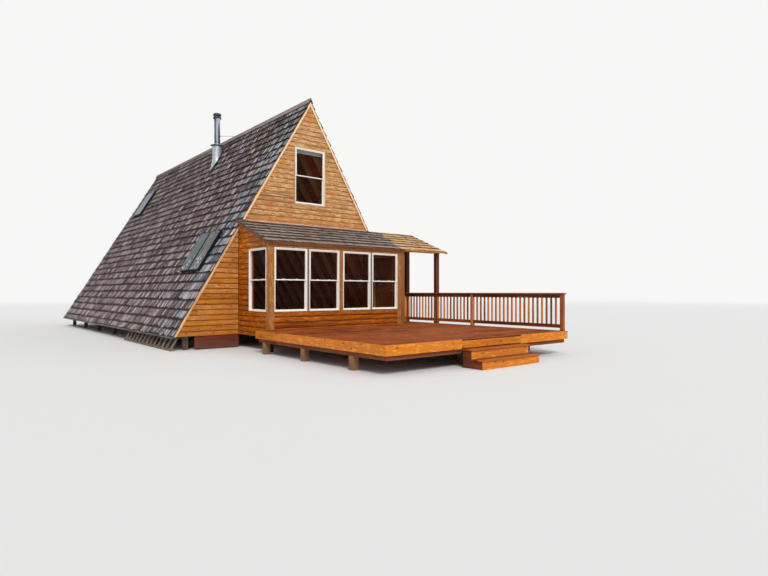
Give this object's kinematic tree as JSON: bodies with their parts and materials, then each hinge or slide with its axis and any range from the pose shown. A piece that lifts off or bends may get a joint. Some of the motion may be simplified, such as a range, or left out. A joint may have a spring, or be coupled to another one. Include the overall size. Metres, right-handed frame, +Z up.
{
  "type": "a-frame cabin",
  "caption": "A-frame cabin with cedar shakes, a glazed lean-to sunroom, a porch roof, a timber deck with steps and railing, skylights and a stovepipe",
  "frame": {"origin": "On level ground under the middle of the front gable, at the bottom of the foundation post there", "axes": "+X right seen from the front, +Y back along the ridge, +Z up"},
  "size_m": [8.34, 21.86, 8.345],
  "materials": {
    "shakes": "weathered split cedar",
    "old_shingles": "weathered cedar shingles",
    "new_shingles": "new cedar shingles",
    "siding": "oiled log-lap siding",
    "trim": "clear-finished boards",
    "brown_trim": "red-brown stained timber",
    "fir": "bare softwood",
    "floor_boards": "varnished floor boards",
    "old_timber": "weathered bare timber",
    "red_boards": "red-brown stained boards",
    "amber_boards": "amber stained boards",
    "pale_board": "pale weathered board",
    "door_wood": "stained door",
    "vinyl": "white vinyl window frame",
    "glass": "clear glazing",
    "stainless": "dull stainless steel",
    "galvanised": "weathered galvanised sheet",
    "dark_cladding": "dark grey-green cladding"
  },
  "bodies": {
    "root": {"foundation_posts": "old_timber", "floor_beams": "old_timber", "floor": "floor_boards", "loft_floor": "floor_boards", "left_rafters": "fir", "right_rafters": "fir", "sill_plates": "fir", "ridge_beam": "fir", "left_roof": "fir", "right_roof": "fir", "left_shakes": "shakes", "right_shakes": "shakes", "ridge_cap": "pale_board", "rake_boards": "trim", "eave_boards": "pale_board", "front_wall": "siding", "front_gable": "siding", "rear_wall": "siding", "rear_gable": "siding", "gable_windows": "vinyl", "gable_glass": "glass", "window_casings": "trim", "sunroom_front_wall": "siding", "sunroom_left_wall": "siding", "sunroom_right_wall": "siding", "sunroom_windows": "vinyl", "sunroom_glass": "glass", "sunroom_trim": "trim", "door_frame": "trim", "entry_door": "door_wood", "lean_to_roof": "fir", "lean_to_fascia": "brown_trim", "sunroom_shingles": "old_shingles", "apron_flashing": "galvanised", "porch_shingles": "new_shingles", "porch_fascia": "fir", "porch_rafters": "fir", "porch_beams": "fir", "porch_posts": "brown_trim", "deck_frame": "brown_trim", "deck_posts": "brown_trim", "deck_boards": "red_boards", "deck_fascia": "amber_boards", "step_treads": "red_boards", "step_risers": "amber_boards", "step_stringers": "brown_trim", "rail_posts": "amber_boards", "rail_panels": "red_boards", "rail_cap": "red_boards", "stovepipe": "stainless", "pipe_cap": "stainless", "pipe_brace": "stainless", "pipe_flashing": "galvanised", "skylight_frames": "dark_cladding", "skylight_glass": "glass", "skirt_board": "red_boards", "slat_panel": "old_timber"}
  },
  "joints": []
}
